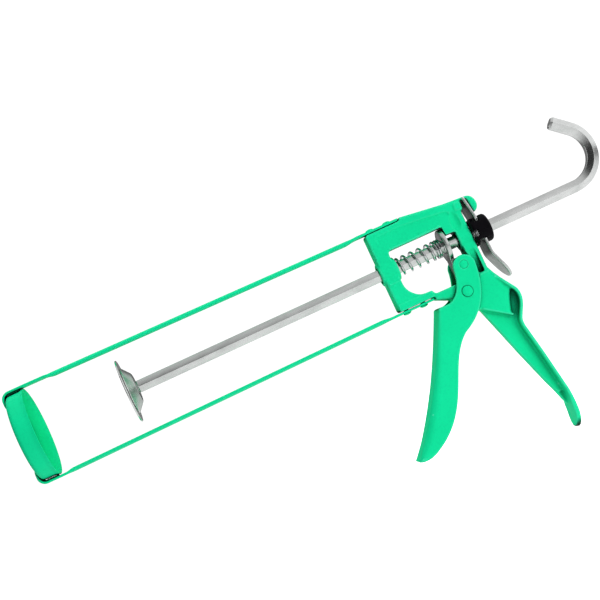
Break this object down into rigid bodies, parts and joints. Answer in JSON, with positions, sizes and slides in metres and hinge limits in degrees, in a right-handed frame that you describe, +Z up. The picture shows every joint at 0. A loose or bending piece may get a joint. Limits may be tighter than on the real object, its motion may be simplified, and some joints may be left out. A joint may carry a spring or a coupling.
{
  "type": "caulking gun",
  "caption": "Skeleton caulking gun: strap cradle with a front cup, hexagon push rod with a hook and plunger, cast handle, squeeze trigger, drive plate, return spring and release lever.",
  "frame": {"origin": "the middle of the plunger's flat pressing face, on the push rod's axis, with the rod at its stored place", "axes": "+X runs back along the push rod, from the plunger towards the hook; +Z is up, away from the grip; Y is across the gun, which is the same on both sides of Y = 0"},
  "size_m": [0.3801, 0.054, 0.1733],
  "materials": {
    "green_paint": "even semi-gloss paint over cast and pressed metal",
    "zinc_steel": "bright zinc plate",
    "spring_steel": "bright drawn wire",
    "black_plastic": "fine matt moulded plastic"
  },
  "bodies": {
    "frame": {"front_cup": "green_paint", "cradle_strap_upper": "green_paint", "cradle_strap_lower": "green_paint", "strap_rivet_upper_front": "green_paint", "strap_rivet_upper_rear": "green_paint", "strap_rivet_lower_front": "green_paint", "strap_rivet_lower_rear": "green_paint", "handle_body": "green_paint", "trigger_pivot_pin": "green_paint", "rod_guide_block": "black_plastic", "drive_spring": "spring_steel", "release_spring": "spring_steel"},
    "trigger": {"trigger": "green_paint", "trigger_drive_pin": "green_paint"},
    "drive": {"drive_plate": "zinc_steel"},
    "rod": {"push_rod": "zinc_steel", "plunger_disc": "zinc_steel", "plunger_cone": "zinc_steel"},
    "release": {"release_lever": "zinc_steel"}
  },
  "joints": [
    {"name": "trigger_squeeze", "type": "hinge", "parent": "frame", "child": "trigger", "pos_m": [0.203, 0, -0.0297], "axis": [0, -1, 0], "range_deg": [0, 36], "stiffness_Nm_per_rad": 0.8, "springref_deg": -14.32},
    {"name": "drive_slide", "type": "slide", "parent": "frame", "child": "drive", "axis": [-1, 0, 0], "range_m": [0, 0.0099], "deforming": ["drive_spring"]},
    {"name": "rod_slide", "type": "slide", "parent": "frame", "child": "rod", "axis": [1, 0, 0], "range_m": [-0.0595, 0.1548]},
    {"name": "release_press", "type": "hinge", "parent": "frame", "child": "release", "pos_m": [0.224, 0, 0.0212], "axis": [0, 1, 0], "range_deg": [0, 4], "stiffness_Nm_per_rad": 0.1, "springref_deg": -17.19, "deforming": ["release_spring"]}
  ],
  "couplings": [
    {"joint": "drive_slide", "follows": "trigger_squeeze", "m_per_rad": 0.01558}
  ]
}
